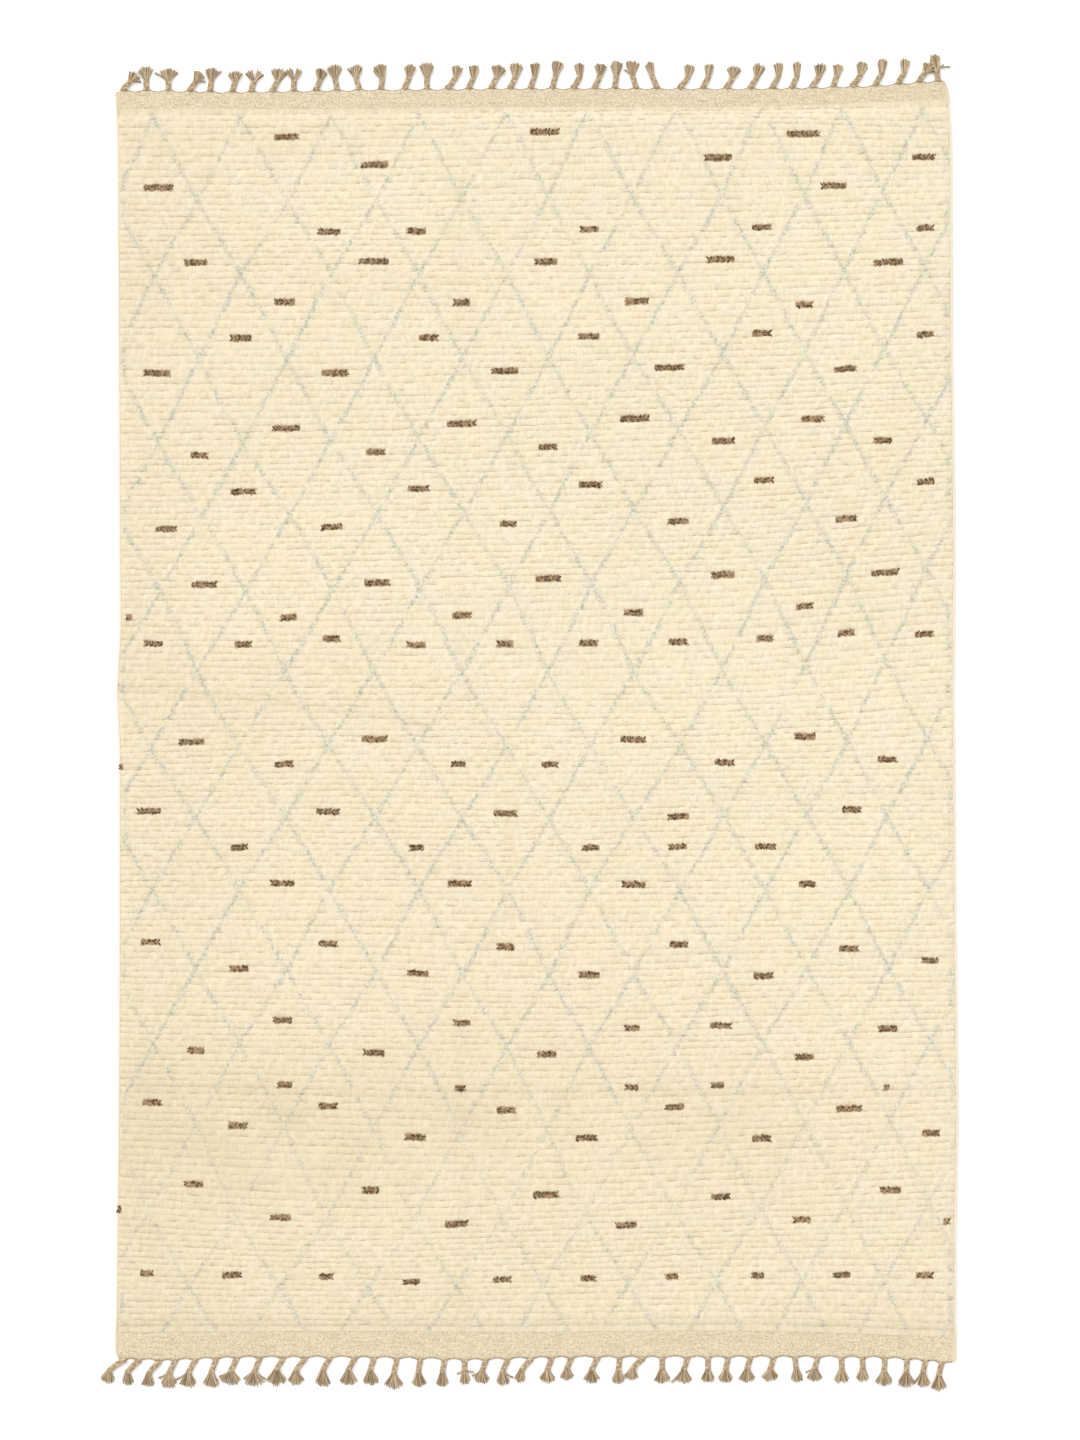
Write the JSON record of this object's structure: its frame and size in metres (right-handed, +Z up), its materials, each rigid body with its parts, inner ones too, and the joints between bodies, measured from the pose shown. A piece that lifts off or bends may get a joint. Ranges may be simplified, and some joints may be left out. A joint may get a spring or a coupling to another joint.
{
  "type": "afghan rug",
  "caption": "Hand-knotted wool rug that lies flat: cream pile in rows, pale blue diamond lattice, brown dashes, flat woven end bands, overcast sides and braided tassel fringes.",
  "frame": {"origin": "the middle of the rug's underside, on the floor", "axes": "+X to the right across the rug, +Y along it to its top end, +Z up out of the pile"},
  "size_m": [2.051, 3.1921, 0.014],
  "materials": {
    "pile_wool": "cream knotted wool pile, pale grey-blue lattice and brown dashes, matt",
    "edge_wool": "cream wool overcasting, matt",
    "fringe_yarn": "mixed tan and brown undyed yarn, braided, matt"
  },
  "bodies": {
    "root": {"rug_body": "pile_wool", "selvedge_left": "edge_wool", "selvedge_right": "edge_wool", "fringe_top": "fringe_yarn", "fringe_bottom": "fringe_yarn"}
  },
  "joints": []
}
